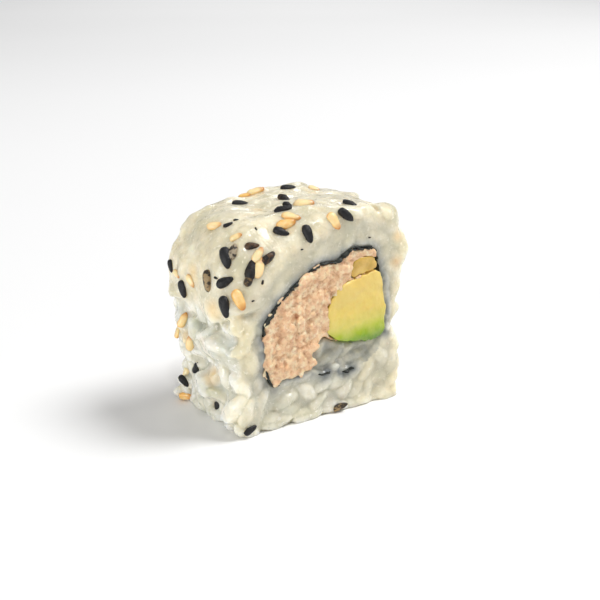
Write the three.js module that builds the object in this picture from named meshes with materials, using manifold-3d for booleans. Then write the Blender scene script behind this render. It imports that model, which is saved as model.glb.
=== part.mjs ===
// One cut piece of uramaki, an inside-out sushi roll, lying on its side as it is served.
// A ring of sticky rice with sesame pressed into its skin wraps a sheet of nori. Inside the nori
// lie tuna mash, a wedge of avocado and a thin, riper slice of avocado above it.
// Millimetres, +Z up, the roll's length along Y. The cut face at -Y is the one that shows best.
// The origin is at the middle of the underside.
import * as THREE from "three";
import { mergeVertices } from "three/addons/utils/BufferGeometryUtils.js";
import Module from "manifold-3d";

const wasm = await Module();
wasm.setup();

// Driving sizes of the roll.
const ROLL_LENGTH = 25.4;
const SECTION_CENTRE = { x: 0, z: 21.2 };
const HALF_LENGTH = ROLL_LENGTH / 2;

// The rice's skin, as spokes from the middle of the section: angle from +X towards +Z in degrees,
// reach at the front cut face and reach at the back one. The front shoulder at 136 is pressed in.
const SKIN_SPOKES = [
  [-90, 21.8, 21.8],
  [-65, 24.2, 24.2],
  [-50, 27.8, 27.4],
  [-44, 27.0, 26.8],
  [-33, 25.2, 24.4],
  [-22, 20.6, 21.4],
  [-8, 19.0, 20.0],
  [8, 20.7, 20.6],
  [22, 23.1, 22.6],
  [36, 25.4, 25.2],
  [47, 26.6, 26.6],
  [55, 24.9, 25.6],
  [66, 23.4, 23.7],
  [85, 19.9, 21.7],
  [101, 18.3, 21.0],
  [117, 17.8, 23.0],
  [128, 18.0, 24.6],
  [143, 18.8, 25.0],
  [155, 19.8, 23.8],
  [166, 20.8, 21.9],
  [180, 20.4, 21.0],
  [200, 21.4, 21.3],
  [214, 24.0, 23.2],
  [224, 27.0, 26.6],
  [230, 28.0, 28.2],
  [238, 25.6, 25.6],
  [250, 23.2, 23.2],
];
const SHOULDER_REACH = 7; // how far behind the front face the skin has come out to its full section
const EDGE_ROUND = 1.2; // how far the skin is drawn in at the edge of a cut
const EDGE_DEPTH = 2.2; // over this much of the length

// Relief of the rice: bumps about as wide as a grain.
const BUMP_SPACING = 3.4;
const BUMP_HEIGHT = 0.8;
const FACE_BUMP_HEIGHT = 0.7;
const BUMP_KEY = 11;
const CORE_CELLS = 14; // cells across each side of the core
const CORE_STATIONS = 9; // cells along its length
const BURIED = 0.23; // how far the core lies under the skin that the grains make
const ON_SKIN = 0.999; // a point of the unit block further out than this is on its skin

// Cooked grains. What is sunk is a share of a grain's height, and the keys start its random draws.
const GRAIN = { length: 6.2, width: 2.7, height: 2.3 };
const GRAIN_SIDES = 5;
const GRAIN_RINGS = 4;
const GRAINS_AROUND = 18;
const GRAINS_ALONG = 4;
const SKIN_GRAIN = { size: [0.85, 1.1], sunk: [0.6, 0.8], key: 100 };
const TOP_ANGLES = [48, 150]; // between these the skin was pressed smooth, so few grains stand out
const TOP_KEPT = 0.35;
const FACE_GRAINS = 13; // on each cut face, in a ring round the nori
const FACE_GRAIN = { reach: [0.76, 0.9], sunk: [0.7, 0.85], key: 900 };
// Big lumps of rice that stand out: middle and half sizes along X, Y and Z.
const LUMPS = [
  { at: [-18.2, -5.0, 17.2], half: [3.6, 7.4, 4.4] },
  { at: [-16.9, -10.4, 5.0], half: [3.8, 3.4, 5.2] },
  { at: [-18.6, 0.4, 6.6], half: [2.6, 4.4, 2.6] },
  { at: [-18.4, 8.6, 18.6], half: [2.9, 4.0, 3.4] },
  { at: [18.0, -9.4, 6.9], half: [3.2, 3.6, 4.2] },
  { at: [16.8, -9.8, 37.8], half: [3.4, 3.0, 3.8] },
  { at: [10.4, -10.2, 39.6], half: [3.2, 2.6, 3.4] },
];
// Hollows between them: the crease under the top skin at the left, the dark one below the left
// lumps, the waist at the lower right and the crease between the two lumps at the top right.
const NOTCHES = [
  { at: [-21.2, -2.0, 23.0], half: [1.8, 12.0, 1.0] },
  { at: [-21.0, 1.6, 11.0], half: [3.0, 6.5, 1.9] },
  { at: [20.6, -9.6, 12.2], half: [2.6, 5.0, 1.7] },
  { at: [13.7, -11.0, 42.4], half: [0.9, 4.0, 2.6] },
];
const LUMP_SIDES = 9;
const LUMP_RINGS = 6;
const SEED = { length: 3.5, width: 1.9, height: 1.1, taper: 0.3, sunk: 0.2, key: 5000 };
const SEED_RINGS = 3;
const SEEDS_AROUND = 13;
const SEEDS_ALONG = 4;

// The nori sheet's middle line on the front face, from its torn edge at the lower right, up and
// over the filling and back along the bottom. The two edges don't meet: rice fills the seam.
const NORI_ROUTE = [
  [15.4, 15.2],
  [15.5, 20.0],
  [14.9, 25.2],
  [13.9, 29.6],
  [12.6, 33.2],
  [9.0, 33.9],
  [6.2, 34.1],
  [3.4, 32.3],
  [-0.7, 32.2],
  [-4.2, 30.4],
  [-7.6, 28.4],
  [-10.6, 25.9],
  [-13.3, 22.8],
  [-14.3, 20.2],
  [-13.7, 16.5],
  [-13.9, 12.4],
  [-12.0, 8.9],
  [-7.0, 7.9],
  [-2.8, 9.0],
  [0.0, 8.7],
  [2.7, 9.4],
  [5.0, 8.4],
  [7.6, 8.7],
];
const NORI_THICKNESS = 0.5;
const NORI_PROUD = 0.2; // how far its edge stands past the rice's cut face
const NORI_UNEVEN = 0.25;
const GAP = 0.32; // air kept between any two pieces
const ROUTE_SAMPLES = 46;

// Where the rice that got inside the nori meets the filling, from the sheet's bottom up to the right.
const TONGUE_ROUTE = [
  [-3.2, 8.9],
  [-2.0, 11.6],
  [-2.4, 14.2],
  [-1.1, 16.5],
  [0.8, 16.5],
  [3.2, 15.3],
  [8.2, 14.1],
  [12.6, 13.8],
  [15.4, 15.2],
];
const SEAM_ROUTE = [
  [14.4, 12.2],
  [11.4, 9.6],
]; // and how it goes back to the sheet's bottom, past the seam between the nori's two edges
const TONGUE_RECESS = 1.1; // how far that rice lies behind the cut faces
const TONGUE_GRAIN_SUNK = 0.65;
const TONGUE_SAMPLES = 24;
const TONGUE_GRAINS = [
  [0.6, 11.4, 0.4],
  [4.0, 13.6, 1.9],
  [5.6, 10.9, 2.8],
  [9.6, 12.4, 0.3],
  [12.4, 11.0, 1.1],
]; // grains that show on it: X, Z and turn in radians

const AVOCADO_OUTLINE = [
  [3.7, 26.6],
  [7.6, 27.9],
  [12.5, 28.5],
  [14.1, 25.2],
  [14.8, 20.4],
  [14.7, 16.2],
  [13.4, 14.6],
  [8.2, 14.7],
  [3.3, 15.9],
  [1.0, 17.5],
  [1.2, 20.0],
  [0.9, 23.0],
  [2.3, 25.0],
];
const SLICE_OUTLINE = [
  [6.5, 30.6],
  [8.2, 31.8],
  [11.6, 32.0],
  [12.8, 30.6],
  [12.9, 29.2],
  [9.6, 28.7],
  [6.9, 28.3],
];
const AVOCADO_PROUD = 0.35;
const SLICE_PROUD = 0.175;
const AVOCADO_SAMPLES = 40;
const SLICE_SAMPLES = 24;
// The mash doesn't come down between the avocado and the nori's right side: nothing of it lies here.
const TUNA_END = [
  [12.0, 12.0],
  [18.0, 12.0],
  [18.0, 31.2],
  [12.0, 31.2],
];
const TUNA_PROUD = 0.3;
const TUNA_CRAG_SPACING = 2.7;
const TUNA_CRAG_HEIGHT = 1.0;
const TUNA_CRAG_DEPTH = 0.6; // share of a crag's height that lies below the mash's mean face
const TUNA_CRAG_KEY = 71;
const TUNA_CELLS = 16;
const TUNA_BLOCK = 20; // half the width of the block that the mash is cut from

// How the whole section changes from the front cut to the back one.
const TWIST = (5 * Math.PI) / 180;
const SHEAR = { x: -0.5, z: 0.2 };
const FILLING_STEPS = 3;

const COLOURS = {
  rice: 0xdedac8,
  nori: 0x1a2119,
  tuna: 0xe3b48c,
  avocado: 0xe6d177,
  slice: 0xcfae55,
};

// A repeatable random number from 0 to 1 for each whole number.
function chance(key) {
  let n = Math.imul(key ^ 0x9e3779b9, 0x85ebca6b);
  n = Math.imul(n ^ (n >>> 13), 0xc2b2ae35);
  return ((n ^ (n >>> 16)) >>> 0) / 4294967296;
}

const smooth = (t) => {
  const c = Math.min(1, Math.max(0, t));
  return c * c * (3 - 2 * c);
};
const blend = (a, b, t) => a + (b - a) * t;

// Reach of the skin from the section's middle at an angle in radians, for the front or the back face.
function spokeReach(angle, column) {
  const degrees = ((((angle * 180) / Math.PI + 90) % 360) + 360) % 360;
  const count = SKIN_SPOKES.length;
  const at = (i) => {
    const turns = Math.floor(i / count);
    const spoke = SKIN_SPOKES[i - turns * count];
    return [spoke[0] + 90 + 360 * turns, spoke[column]];
  };
  let i = 0;
  while (i < count && at(i + 1)[0] <= degrees) i++;
  const [a0, r0] = at(i - 1);
  const [a1, r1] = at(i);
  const [a2, r2] = at(i + 1);
  const [a3, r3] = at(i + 2);
  const t = (degrees - a1) / (a2 - a1);
  const m1 = ((r2 - r0) / (a2 - a0)) * (a2 - a1);
  const m2 = ((r3 - r1) / (a3 - a1)) * (a2 - a1);
  const t2 = t * t;
  const t3 = t2 * t;
  return (
    (2 * t3 - 3 * t2 + 1) * r1 +
    (t3 - 2 * t2 + t) * m1 +
    (3 * t2 - 2 * t3) * r2 +
    (t3 - t2) * m2
  );
}

function skinReach(angle, y) {
  const behindFront = y + HALF_LENGTH;
  const front = spokeReach(angle, 1);
  const back = spokeReach(angle, 2);
  const reach = blend(front, back, smooth(behindFront / SHOULDER_REACH));
  const fromCut = HALF_LENGTH - Math.abs(y);
  const pulled = Math.max(0, 1 - fromCut / EDGE_DEPTH);
  return reach - EDGE_ROUND * pulled * pulled;
}

function skinPoint(angle, y) {
  const reach = skinReach(angle, y);
  return new THREE.Vector3(
    SECTION_CENTRE.x + reach * Math.cos(angle),
    y,
    SECTION_CENTRE.z + reach * Math.sin(angle),
  );
}

function skinNormal(angle, y) {
  const step = 0.04;
  const around = skinPoint(angle + step, y).sub(skinPoint(angle - step, y));
  const along = skinPoint(angle, y + 1).sub(skinPoint(angle, y - 1));
  return along.cross(around).normalize();
}

// Height from 0 to 1 of rounded bumps, one in each cell of a jittered lattice.
function bumps(p, spacing, key) {
  const cell = [p.x, p.y, p.z].map((v) => Math.floor(v / spacing));
  let nearest = Infinity;
  for (let dx = -1; dx <= 1; dx++)
    for (let dy = -1; dy <= 1; dy++)
      for (let dz = -1; dz <= 1; dz++) {
        const c = [cell[0] + dx, cell[1] + dy, cell[2] + dz];
        const id = c[0] * 7919 + c[1] * 104729 + c[2] * 1299709 + key;
        const off = [0, 1, 2].map(
          (k) => (c[k] + chance(id * 3 + k)) * spacing - [p.x, p.y, p.z][k],
        );
        nearest = Math.min(nearest, Math.hypot(...off));
      }
  return Math.max(0, 1 - (nearest / spacing) ** 2);
}

// The section's slow turn and drift along the roll, the same for every piece.
function drift(p) {
  const t = (p.y + HALF_LENGTH) / ROLL_LENGTH;
  const angle = TWIST * t;
  const x = p.x - SECTION_CENTRE.x;
  const z = p.z - SECTION_CENTRE.z;
  p.x = SECTION_CENTRE.x + x * Math.cos(angle) - z * Math.sin(angle) + SHEAR.x * t;
  p.z = SECTION_CENTRE.z + x * Math.sin(angle) + z * Math.cos(angle) + SHEAR.z * t;
  return p;
}

function moveVertices(geometry, move) {
  const position = geometry.getAttribute("position");
  const p = new THREE.Vector3();
  for (let i = 0; i < position.count; i++) {
    p.fromBufferAttribute(position, i);
    move(p);
    position.setXYZ(i, p.x, p.y, p.z);
  }
  return geometry;
}

const drifted = (geometry) => moveVertices(geometry, drift);

function toSolid(geometry) {
  const bare = geometry.clone();
  bare.deleteAttribute("normal");
  bare.deleteAttribute("uv");
  const merged = mergeVertices(bare, 1e-4);
  return new wasm.Manifold(
    new wasm.Mesh({
      numProp: 3,
      vertProperties: new Float32Array(merged.getAttribute("position").array),
      triVerts: new Uint32Array(merged.index.array),
    }),
  );
}

function toGeometry(solid) {
  const mesh = solid.getMesh();
  const places = new Float32Array(mesh.numVert * 3);
  for (let i = 0; i < mesh.numVert; i++)
    for (let k = 0; k < 3; k++)
      places[3 * i + k] = mesh.vertProperties[i * mesh.numProp + k];
  const geometry = new THREE.BufferGeometry();
  geometry.setAttribute("position", new THREE.BufferAttribute(places, 3));
  geometry.setIndex(new THREE.BufferAttribute(new Uint32Array(mesh.triVerts), 1));
  geometry.computeVertexNormals();
  return geometry;
}

// Drops the loose scraps that a cut leaves.
function largestBody(solid) {
  return solid.decompose().reduce((a, b) => (b.volume() > a.volume() ? b : a));
}

function curveThrough(points, closed) {
  return new THREE.CatmullRomCurve3(
    points.map(([x, z]) => new THREE.Vector3(x, 0, z)),
    closed,
    "centripetal",
  );
}

const asPair = (p) => new THREE.Vector2(p.x, p.z);
const corners = (points) => points.map(([x, z]) => new THREE.Vector2(x, z));

// An outline in X and Z pushed along Y from one end to the other, in steps, then drifted.
function slab(points, reach, steps = FILLING_STEPS) {
  const geometry = new THREE.ExtrudeGeometry(new THREE.Shape(points), {
    depth: 2 * reach,
    steps,
    bevelEnabled: false,
  });
  geometry.rotateX(Math.PI / 2); // the shape's Y becomes Z, and its depth runs along -Y
  geometry.translate(0, reach, 0);
  return geometry;
}

// The strip of a given half thickness on both sides of a route, its ends pushed out by endReach.
function bandPoints(route, halfThickness, endReach) {
  const samples = curveThrough(route, false).getSpacedPoints(ROUTE_SAMPLES).map(asPair);
  const tangent = (i) =>
    samples[Math.min(i + 1, ROUTE_SAMPLES)]
      .clone()
      .sub(samples[Math.max(i - 1, 0)])
      .normalize();
  const side = (i, sign) => {
    const t = tangent(i);
    const end = i === 0 ? -endReach : i === ROUTE_SAMPLES ? endReach : 0;
    return new THREE.Vector2(
      samples[i].x - sign * halfThickness * t.y + end * t.x,
      samples[i].y + sign * halfThickness * t.x + end * t.y,
    );
  };
  const there = samples.map((_, i) => side(i, -1));
  const back = samples.map((_, i) => side(i, 1)).reverse();
  return [...there, ...back];
}

function outlinePoints(points, count, grow) {
  const samples = curveThrough(points, true).getSpacedPoints(count).map(asPair);
  samples.pop();
  if (THREE.ShapeUtils.area(samples) < 0) samples.reverse();
  const n = samples.length;
  return samples.map((p, i) => {
    const t = samples[(i + 1) % n].clone().sub(samples[(i + n - 1) % n]).normalize();
    return new THREE.Vector2(p.x + grow * t.y, p.y - grow * t.x);
  });
}

// A rounded lump with few sides, long along X, narrowing to one end by taper.
function lump(size, rings = GRAIN_RINGS, taper = 0) {
  const geometry = new THREE.SphereGeometry(0.5, GRAIN_SIDES, rings);
  geometry.rotateZ(Math.PI / 2);
  return moveVertices(geometry, (p) => {
    const narrow = 1 - taper * 2 * p.x;
    p.set(p.x * size.length, p.y * size.width * narrow, p.z * size.height);
  });
}

// Lays a lump flat on the skin, its length turned by spin, sunk by a share of its height.
function laidOn(geometry, point, normal, spin, sunk, height) {
  const start = Math.abs(normal.y) > 0.9 ? new THREE.Vector3(1, 0, 0) : new THREE.Vector3(0, 1, 0);
  const u = start.addScaledVector(normal, -start.dot(normal)).normalize();
  u.applyAxisAngle(normal, spin);
  const v = normal.clone().cross(u);
  const place = new THREE.Matrix4().makeBasis(u, v, normal);
  place.setPosition(point.clone().addScaledVector(normal, height * (0.5 - sunk)));
  return geometry.applyMatrix4(place);
}

function riceCore() {
  const geometry = new THREE.BoxGeometry(2, 2, 2, CORE_CELLS, CORE_STATIONS, CORE_CELLS);
  geometry.deleteAttribute("normal");
  geometry.deleteAttribute("uv");
  return moveVertices(mergeVertices(geometry, 1e-4), (p) => {
    const share = Math.max(Math.abs(p.x), Math.abs(p.z));
    const onFace = Math.abs(p.y) > ON_SKIN;
    const angle = Math.atan2(p.z, p.x);
    const y = p.y * HALF_LENGTH;
    const reach = (skinReach(angle, y) - BURIED) * share;
    p.set(
      SECTION_CENTRE.x + reach * Math.cos(angle),
      y,
      SECTION_CENTRE.z + reach * Math.sin(angle),
    );
    const height = bumps(p, BUMP_SPACING, BUMP_KEY) - 0.5;
    if (onFace && share < ON_SKIN) p.y += Math.sign(y) * height * FACE_BUMP_HEIGHT;
    if (share > ON_SKIN) {
      p.x += Math.cos(angle) * height * BUMP_HEIGHT;
      p.z += Math.sin(angle) * height * BUMP_HEIGHT;
    }
  });
}

function onTop(angle) {
  const degrees = (angle * 180) / Math.PI;
  return degrees > TOP_ANGLES[0] && degrees < TOP_ANGLES[1];
}

function ellipsoids(list) {
  return list.map(({ at, half }) =>
    new THREE.SphereGeometry(1, LUMP_SIDES, LUMP_RINGS).scale(...half).translate(...at),
  );
}

// Grains on the skin all round, in rows along the roll, each row shifted from the last.
function skinGrains() {
  const grains = [];
  for (let i = 0; i < GRAINS_AROUND; i++)
    for (let j = 0; j < GRAINS_ALONG; j++) {
      const key = SKIN_GRAIN.key + i * GRAINS_ALONG + j;
      const angle = ((i + 0.5 * (j % 2) + 0.5 * chance(key * 5)) / GRAINS_AROUND) * 2 * Math.PI;
      if (onTop(angle) && chance(key * 5 + 7) > TOP_KEPT) continue;
      const share = (j + 0.25 + 0.5 * chance(key * 5 + 1)) / GRAINS_ALONG;
      const y = (share - 0.5) * (ROLL_LENGTH - GRAIN.width);
      const size = blend(...SKIN_GRAIN.size, chance(key * 5 + 2));
      const grain = lump(GRAIN).scale(size, size, size);
      const spin = Math.PI * chance(key * 5 + 3);
      const sunk = blend(...SKIN_GRAIN.sunk, chance(key * 5 + 4));
      grains.push(laidOn(grain, skinPoint(angle, y), skinNormal(angle, y), spin, sunk, GRAIN.height));
    }
  return grains;
}

// Grains that show on the two cut faces, round the nori.
function faceGrains() {
  const grains = [];
  for (const side of [-1, 1])
    for (let i = 0; i < FACE_GRAINS; i++) {
      const key = FACE_GRAIN.key + side * 300 + i;
      const angle = ((i + 0.6 * chance(key * 4)) / FACE_GRAINS) * 2 * Math.PI;
      const share = blend(...FACE_GRAIN.reach, chance(key * 4 + 1));
      const middle = skinPoint(angle, side * HALF_LENGTH);
      middle.set(
        SECTION_CENTRE.x + (middle.x - SECTION_CENTRE.x) * share,
        side * HALF_LENGTH,
        SECTION_CENTRE.z + (middle.z - SECTION_CENTRE.z) * share,
      );
      const normal = new THREE.Vector3(0, side, 0);
      const spin = Math.PI * chance(key * 4 + 2);
      const sunk = blend(...FACE_GRAIN.sunk, chance(key * 4 + 3));
      grains.push(laidOn(lump(GRAIN), middle, normal, spin, sunk, GRAIN.height));
    }
  return grains;
}

function tongueGrains() {
  const grains = [];
  for (const side of [-1, 1])
    for (const [x, z, turn] of TONGUE_GRAINS) {
      const middle = new THREE.Vector3(x, side * (HALF_LENGTH - TONGUE_RECESS), z);
      const normal = new THREE.Vector3(0, side, 0);
      const grain = laidOn(lump(GRAIN), middle, normal, turn, TONGUE_GRAIN_SUNK, GRAIN.height);
      grains.push(drifted(grain));
    }
  return grains;
}

// Sesame pressed into the skin all round, sparse and even, not under the roll.
function sesame() {
  const seeds = [];
  for (let i = 0; i < SEEDS_AROUND; i++)
    for (let j = 0; j < SEEDS_ALONG; j++) {
      const key = SEED.key + i * SEEDS_ALONG + j;
      const angle = ((i + 0.8 * chance(key * 4)) / SEEDS_AROUND) * 2 * Math.PI;
      const share = (j + 0.15 + 0.7 * chance(key * 4 + 1)) / SEEDS_ALONG;
      const y = (share - 0.5) * (ROLL_LENGTH - SEED.length);
      const point = skinPoint(angle, y);
      if (point.z < 2 * SEED.width) continue;
      const spin = 2 * Math.PI * chance(key * 4 + 2);
      const seed = lump(SEED, SEED_RINGS, SEED.taper);
      seeds.push(laidOn(seed, point, skinNormal(angle, y), spin, SEED.sunk, SEED.height));
    }
  return seeds;
}

const LONG_REACH = HALF_LENGTH + 4; // long enough to cut right through

function solidSlab(points, reach) {
  return toSolid(drifted(slab(points, reach)));
}

function noriCut() {
  const half = NORI_THICKNESS / 2 + GAP;
  return solidSlab(bandPoints(NORI_ROUTE, half, GAP), LONG_REACH);
}

// All that lies inside the nori but for the rice that got in at the seam.
function cavity() {
  const wall = curveThrough(NORI_ROUTE, false);
  const corner = new THREE.Vector3(TONGUE_ROUTE[0][0], 0, TONGUE_ROUTE[0][1]);
  const round = wall.getSpacedPoints(ROUTE_SAMPLES);
  const nearest = round.reduce(
    (best, p, i) => (p.distanceTo(corner) < round[best].distanceTo(corner) ? i : best),
    0,
  );
  const tongue = curveThrough(TONGUE_ROUTE, false).getSpacedPoints(TONGUE_SAMPLES);
  const ring = [...round.slice(0, nearest + 1), ...tongue.slice(1, -1)].map(asPair);
  return solidSlab(ring, LONG_REACH);
}

function makeRice(inside) {
  const around = [...TONGUE_ROUTE, ...SEAM_ROUTE, ...NORI_ROUTE.slice(-4).reverse()];
  let rice = toSolid(riceCore());
  for (const side of [-1, 1]) {
    const recess = slab(corners(around), HALF_LENGTH, 1);
    recess.translate(0, side * (ROLL_LENGTH - TONGUE_RECESS), 0);
    rice = rice.subtract(toSolid(drifted(recess)));
  }
  const lumps = [...ellipsoids(LUMPS), ...tongueGrains(), ...skinGrains(), ...faceGrains()];
  const floor = new THREE.BoxGeometry(100, 100, 20).translate(0, 0, -10);
  const hollows = [...ellipsoids(NOTCHES), floor].map(toSolid);
  rice = wasm.Manifold.union([rice, ...lumps.map(toSolid)]);
  rice = rice.subtract(wasm.Manifold.union(hollows));
  rice = wasm.Manifold.union([rice, ...sesame().map(toSolid)]);
  return largestBody(rice.subtract(inside).subtract(noriCut()));
}

function makeNori() {
  const points = bandPoints(NORI_ROUTE, NORI_THICKNESS / 2, 0);
  const geometry = moveVertices(slab(points, HALF_LENGTH + NORI_PROUD), (p) => {
    if (Math.abs(p.y) > HALF_LENGTH) {
      const along = Math.round(p.x * 3) * 53 + Math.round(p.z * 3) * 17;
      p.y += Math.sign(p.y) * NORI_UNEVEN * (chance(along) - 0.5);
    }
    drift(p);
  });
  return largestBody(toSolid(geometry));
}

// A block whose two cut faces are craggy, to be cut to the mash's section.
function craggyBlock() {
  const width = 2 * TUNA_BLOCK;
  const geometry = new THREE.BoxGeometry(width, 2, width, TUNA_CELLS, 1, TUNA_CELLS);
  geometry.deleteAttribute("normal");
  geometry.deleteAttribute("uv");
  return moveVertices(mergeVertices(geometry, 1e-4), (p) => {
    const side = Math.sign(p.y);
    p.z += SECTION_CENTRE.z;
    p.y = side * (HALF_LENGTH + TUNA_PROUD);
    const rise = bumps(p, TUNA_CRAG_SPACING, TUNA_CRAG_KEY) - TUNA_CRAG_DEPTH;
    p.y += side * TUNA_CRAG_HEIGHT * rise;
    drift(p);
  });
}

function makeTuna(inside) {
  const tongueGap = solidSlab(bandPoints(TONGUE_ROUTE, GAP, GAP), LONG_REACH);
  const avocadoGap = solidSlab(outlinePoints(AVOCADO_OUTLINE, AVOCADO_SAMPLES, GAP), LONG_REACH);
  const sliceGap = solidSlab(outlinePoints(SLICE_OUTLINE, SLICE_SAMPLES, GAP), LONG_REACH);
  const mash = inside
    .subtract(noriCut())
    .subtract(tongueGap)
    .subtract(avocadoGap)
    .subtract(sliceGap)
    .subtract(solidSlab(corners(TUNA_END), LONG_REACH));
  return largestBody(mash.intersect(toSolid(craggyBlock())));
}

function makeAvocado() {
  return solidSlab(outlinePoints(AVOCADO_OUTLINE, AVOCADO_SAMPLES, 0), HALF_LENGTH + AVOCADO_PROUD);
}

function makeSlice() {
  return solidSlab(outlinePoints(SLICE_OUTLINE, SLICE_SAMPLES, 0), HALF_LENGTH + SLICE_PROUD);
}

function named(name, solid, colour, roughness) {
  const material = new THREE.MeshStandardMaterial({ color: colour, roughness, metalness: 0 });
  const mesh = new THREE.Mesh(toGeometry(solid), material);
  mesh.name = name;
  return mesh;
}

const inside = cavity();
const roll = new THREE.Group();
roll.add(
  named("rice", makeRice(inside), COLOURS.rice, 0.35),
  named("nori", makeNori(), COLOURS.nori, 0.5),
  named("tuna", makeTuna(inside), COLOURS.tuna, 0.6),
  named("avocado", makeAvocado(), COLOURS.avocado, 0.4),
  named("avocado_slice", makeSlice(), COLOURS.slice, 0.4),
);

export default roll;
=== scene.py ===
import math
import random

import bmesh
import bpy
import numpy as np
from mathutils import Matrix, Vector, noise
from mathutils.bvhtree import BVHTree
from mathutils.kdtree import KDTree


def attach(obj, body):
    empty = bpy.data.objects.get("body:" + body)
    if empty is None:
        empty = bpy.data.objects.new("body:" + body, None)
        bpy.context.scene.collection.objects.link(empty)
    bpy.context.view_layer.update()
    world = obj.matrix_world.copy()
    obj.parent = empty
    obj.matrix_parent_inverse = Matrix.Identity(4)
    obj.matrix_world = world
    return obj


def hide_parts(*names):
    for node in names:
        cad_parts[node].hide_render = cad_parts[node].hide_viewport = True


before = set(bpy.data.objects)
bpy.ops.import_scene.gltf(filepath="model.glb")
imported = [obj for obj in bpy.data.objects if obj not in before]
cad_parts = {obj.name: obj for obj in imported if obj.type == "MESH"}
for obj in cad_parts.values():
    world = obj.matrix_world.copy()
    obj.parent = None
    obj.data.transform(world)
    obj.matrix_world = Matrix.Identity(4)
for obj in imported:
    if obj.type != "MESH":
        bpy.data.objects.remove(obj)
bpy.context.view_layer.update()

# Shapes are worked out in millimetres, and each finished piece is scaled to metres.
mm = 0.001

# The whole roll: its section as spokes from the middle, which are the angle from +X towards +Z,
# the reach at the front cut and the reach at the back cut.
roll = {
    "length": 25.4,
    "middleHeight": 21.2,
    "spokes": [
        (-90, 21.8, 21.8), (-65, 24.2, 24.2), (-50, 27.8, 27.4), (-44, 27.0, 26.8),
        (-33, 25.2, 24.4), (-22, 20.6, 21.4), (-8, 19.0, 20.0), (8, 20.7, 20.6),
        (22, 23.1, 22.6), (36, 25.4, 25.2), (47, 26.6, 25.9), (55, 24.9, 24.9),
        (66, 23.4, 23.2), (85, 19.9, 21.7), (101, 18.3, 21.1), (117, 17.8, 22.6),
        (128, 18.0, 23.7), (143, 18.8, 24.0), (155, 19.8, 23.8), (166, 20.8, 21.9),
        (180, 20.4, 21.0), (200, 21.4, 21.3), (214, 24.0, 23.2), (224, 27.0, 26.6),
        (230, 28.0, 28.2), (238, 25.6, 25.6), (250, 23.2, 23.2),
    ],
    "shoulder": 7.0,      # how far behind the front cut the section is full
    "edgeRound": 1.2,
    "edgeDepth": 2.2,
    "twist": 5.0,         # degrees that the filling turns from front to back
    "shear": (-0.5, 0.2),
}
halfLength = roll["length"] / 2

noriSheet = {
    "route": [
        (15.4, 15.2), (15.5, 20.0), (14.9, 25.2), (13.9, 29.6), (12.6, 33.2), (9.0, 33.9),
        (6.2, 34.1), (3.4, 32.3), (-0.7, 32.2), (-4.2, 30.4), (-7.6, 28.4), (-10.6, 25.9),
        (-13.3, 22.8), (-14.3, 20.2), (-13.7, 16.5), (-13.8, 12.4), (-11.9, 9.0), (-9.7, 9.9),
        (-6.5, 10.1), (-2.9, 10.4), (-0.1, 8.9), (2.7, 9.4), (5.0, 8.4), (7.6, 8.7),
    ],
    "thickness": 0.24,
    "edge": [             # how far the cut edge stands out, by share of the way along the route
        (0.00, -1.5), (0.13, -1.3), (0.17, -0.6), (0.20, -0.2), (0.24, 0.35), (0.35, 0.35),
        (0.42, -0.1), (0.50, 0.1), (0.62, 0.2), (0.64, -1.0), (0.69, -1.0), (0.705, 0.3),
        (0.77, 0.2), (0.785, -1.3), (0.88, -1.3), (0.895, 0.3), (0.92, 0.3), (0.935, -0.7),
        (0.965, -0.6), (0.975, 0.4), (1.00, 0.3),
    ],
    "torn": 0.7,          # how far it goes in and out between those
    "edgeRange": (-1.5, 0.7),
    "furthest": 0.85,     # past the cuts
    "wavy": 0.28,
    "fold": (0.235, 0.33),    # the share of the route where it lies double
    "foldApart": (0.1, 0.42),
}

# Where the rice that got inside the nori meets the filling.
tongue = {
    "route": [
        (-2.9, 10.4), (-2.1, 12.0), (-2.4, 14.2), (-1.1, 16.5), (0.8, 16.5), (3.2, 15.3),
        (8.2, 14.1), (12.6, 13.8), (15.4, 15.2),
    ],
    "seam": [(14.4, 12.2), (11.4, 9.6)],
    "recess": 1.1,
}


def smoothStep(low, high, value):
    t = min(1.0, max(0.0, (value - low) / (high - low)))
    return t * t * (3 - 2 * t)


def mix(a, b, t):
    return a + (b - a) * t


# How far the outline lies from the middle at an angle, along a smooth curve through the spokes.
def spokeReach(angle, column):
    degrees = (math.degrees(angle) + 90) % 360
    spokes = roll["spokes"]
    count = len(spokes)

    def at(i):
        turns = i // count
        spoke = spokes[i - turns * count]
        return spoke[0] + 90 + 360 * turns, spoke[column]

    i = 0
    while i < count and at(i + 1)[0] <= degrees:
        i += 1
    (a0, r0), (a1, r1), (a2, r2), (a3, r3) = at(i - 1), at(i), at(i + 1), at(i + 2)
    t = (degrees - a1) / (a2 - a1)
    m1 = (r2 - r0) / (a2 - a0) * (a2 - a1)
    m2 = (r3 - r1) / (a3 - a1) * (a2 - a1)
    return ((2 * t**3 - 3 * t**2 + 1) * r1 + (t**3 - 2 * t**2 + t) * m1
            + (3 * t**2 - 2 * t**3) * r2 + (t**3 - t**2) * m2)


def skinReach(angle, y):
    full = smoothStep(0, roll["shoulder"], y + halfLength)
    reach = mix(spokeReach(angle, 1), spokeReach(angle, 2), full)
    pulled = max(0.0, 1 - (halfLength - abs(y)) / roll["edgeDepth"])
    return reach - roll["edgeRound"] * pulled * pulled


def skinPoint(angle, y, inset=0.0):
    reach = skinReach(angle, y) - inset
    return Vector((reach * math.cos(angle), y, roll["middleHeight"] + reach * math.sin(angle)))


def skinNormal(angle, y):
    around = skinPoint(angle + 0.04, y) - skinPoint(angle - 0.04, y)
    along = skinPoint(angle, y + 1) - skinPoint(angle, y - 1)
    return along.cross(around).normalized()


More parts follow.
